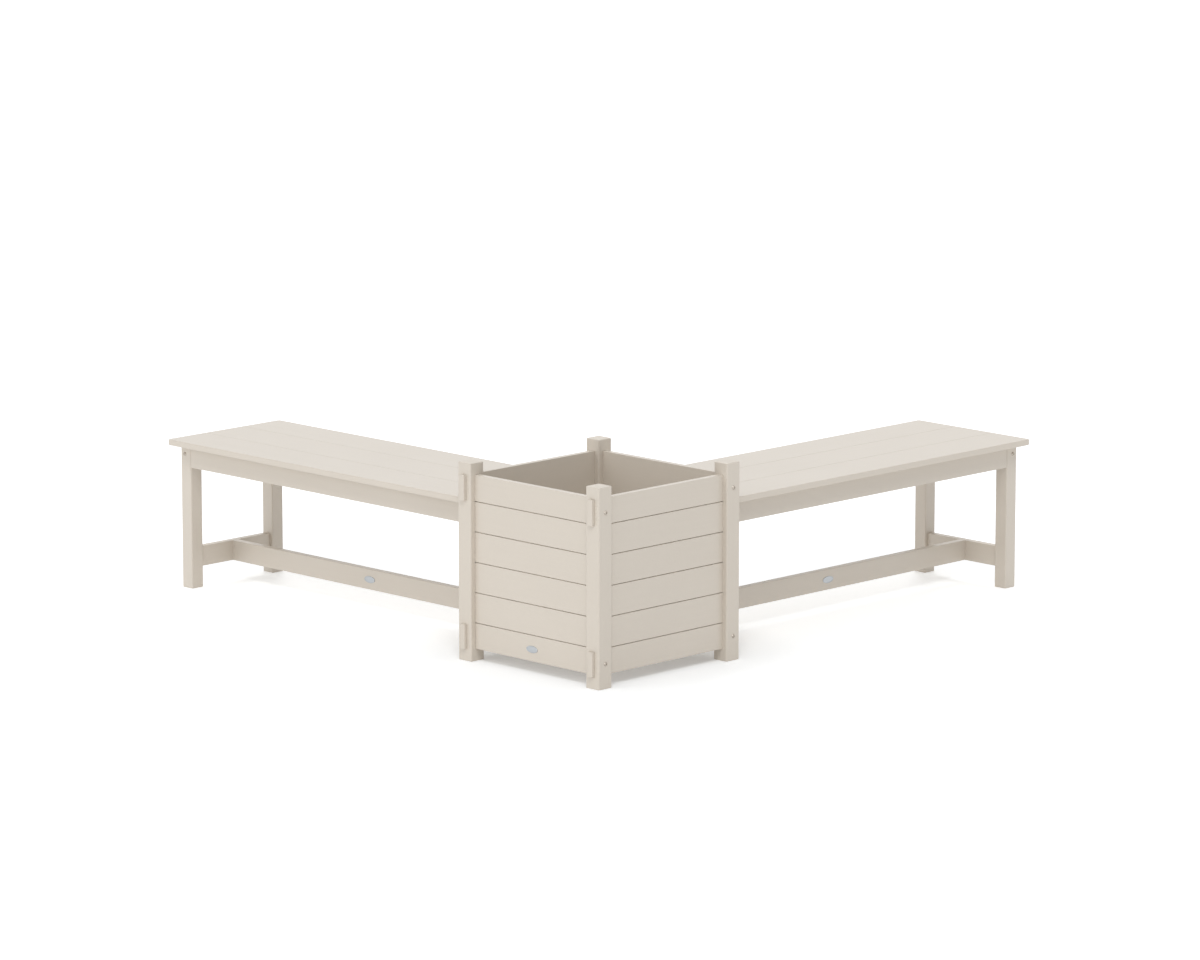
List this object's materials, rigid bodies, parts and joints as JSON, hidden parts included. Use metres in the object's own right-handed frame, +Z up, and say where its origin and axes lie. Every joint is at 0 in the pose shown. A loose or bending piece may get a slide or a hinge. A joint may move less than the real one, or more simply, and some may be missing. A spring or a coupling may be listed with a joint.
{
  "type": "corner bench with planter",
  "caption": "Corner outdoor seat: backless plank benches that meet at a square planter box, in pale plastic lumber, with through tenons and domed screws.",
  "frame": {"origin": "middle of the corner post's foot, on the ground", "axes": "+Z up; the right bench runs along +X and the left bench along +Y from the planter, so the L's outer corner faces -X -Y"},
  "size_m": [1.876, 1.87, 0.568],
  "materials": {
    "planter_post": "satin solid-coloured recycled plastic lumber",
    "planter_board": "satin solid-coloured recycled plastic lumber",
    "planter_floor": "satin solid-coloured recycled plastic lumber",
    "seat_board": "satin solid-coloured recycled plastic lumber",
    "bench_frame": "satin solid-coloured recycled plastic lumber",
    "screw_steel": "satin stainless steel",
    "plate_steel": "brushed, blank"
  },
  "bodies": {
    "root": {"blank_plates": "plate_steel", "frame_screws": "screw_steel", "left_bench_batten_1": "bench_frame", "left_bench_batten_2": "bench_frame", "left_bench_cross_stretcher": "bench_frame", "left_bench_end_apron": "bench_frame", "left_bench_inner_apron": "bench_frame", "left_bench_inner_leg": "bench_frame", "left_bench_ledger": "bench_frame", "left_bench_long_stretcher": "bench_frame", "left_bench_outer_apron": "bench_frame", "left_bench_outer_leg": "bench_frame", "left_bench_seat_board_1": "seat_board", "left_bench_seat_board_2": "seat_board", "left_bench_seat_board_3": "seat_board", "planter_back_left_board_1": "planter_board", "planter_back_left_board_2": "planter_board", "planter_back_left_board_3": "planter_board", "planter_back_left_board_4": "planter_board", "planter_back_left_board_5": "planter_board", "planter_back_left_board_6": "planter_board", "planter_back_right_board_1": "planter_board", "planter_back_right_board_2": "planter_board", "planter_back_right_board_3": "planter_board", "planter_back_right_board_4": "planter_board", "planter_back_right_board_5": "planter_board", "planter_back_right_board_6": "planter_board", "planter_corner_post": "planter_post", "planter_floor": "planter_floor", "planter_front_left_board_1": "planter_board", "planter_front_left_board_2": "planter_board", "planter_front_left_board_3": "planter_board", "planter_front_left_board_4": "planter_board", "planter_front_left_board_5": "planter_board", "planter_front_left_board_6": "planter_board", "planter_front_right_board_1": "planter_board", "planter_front_right_board_2": "planter_board", "planter_front_right_board_3": "planter_board", "planter_front_right_board_4": "planter_board", "planter_front_right_board_5": "planter_board", "planter_front_right_board_6": "planter_board", "planter_left_cleat": "planter_floor", "planter_left_post": "planter_post", "planter_rear_post": "planter_post", "planter_right_cleat": "planter_floor", "planter_right_post": "planter_post", "right_bench_batten_1": "bench_frame", "right_bench_batten_2": "bench_frame", "right_bench_cross_stretcher": "bench_frame", "right_bench_end_apron": "bench_frame", "right_bench_inner_apron": "bench_frame", "right_bench_inner_leg": "bench_frame", "right_bench_ledger": "bench_frame", "right_bench_long_stretcher": "bench_frame", "right_bench_outer_apron": "bench_frame", "right_bench_outer_leg": "bench_frame", "right_bench_seat_board_1": "seat_board", "right_bench_seat_board_2": "seat_board", "right_bench_seat_board_3": "seat_board", "small_screws": "screw_steel"}
  },
  "joints": []
}
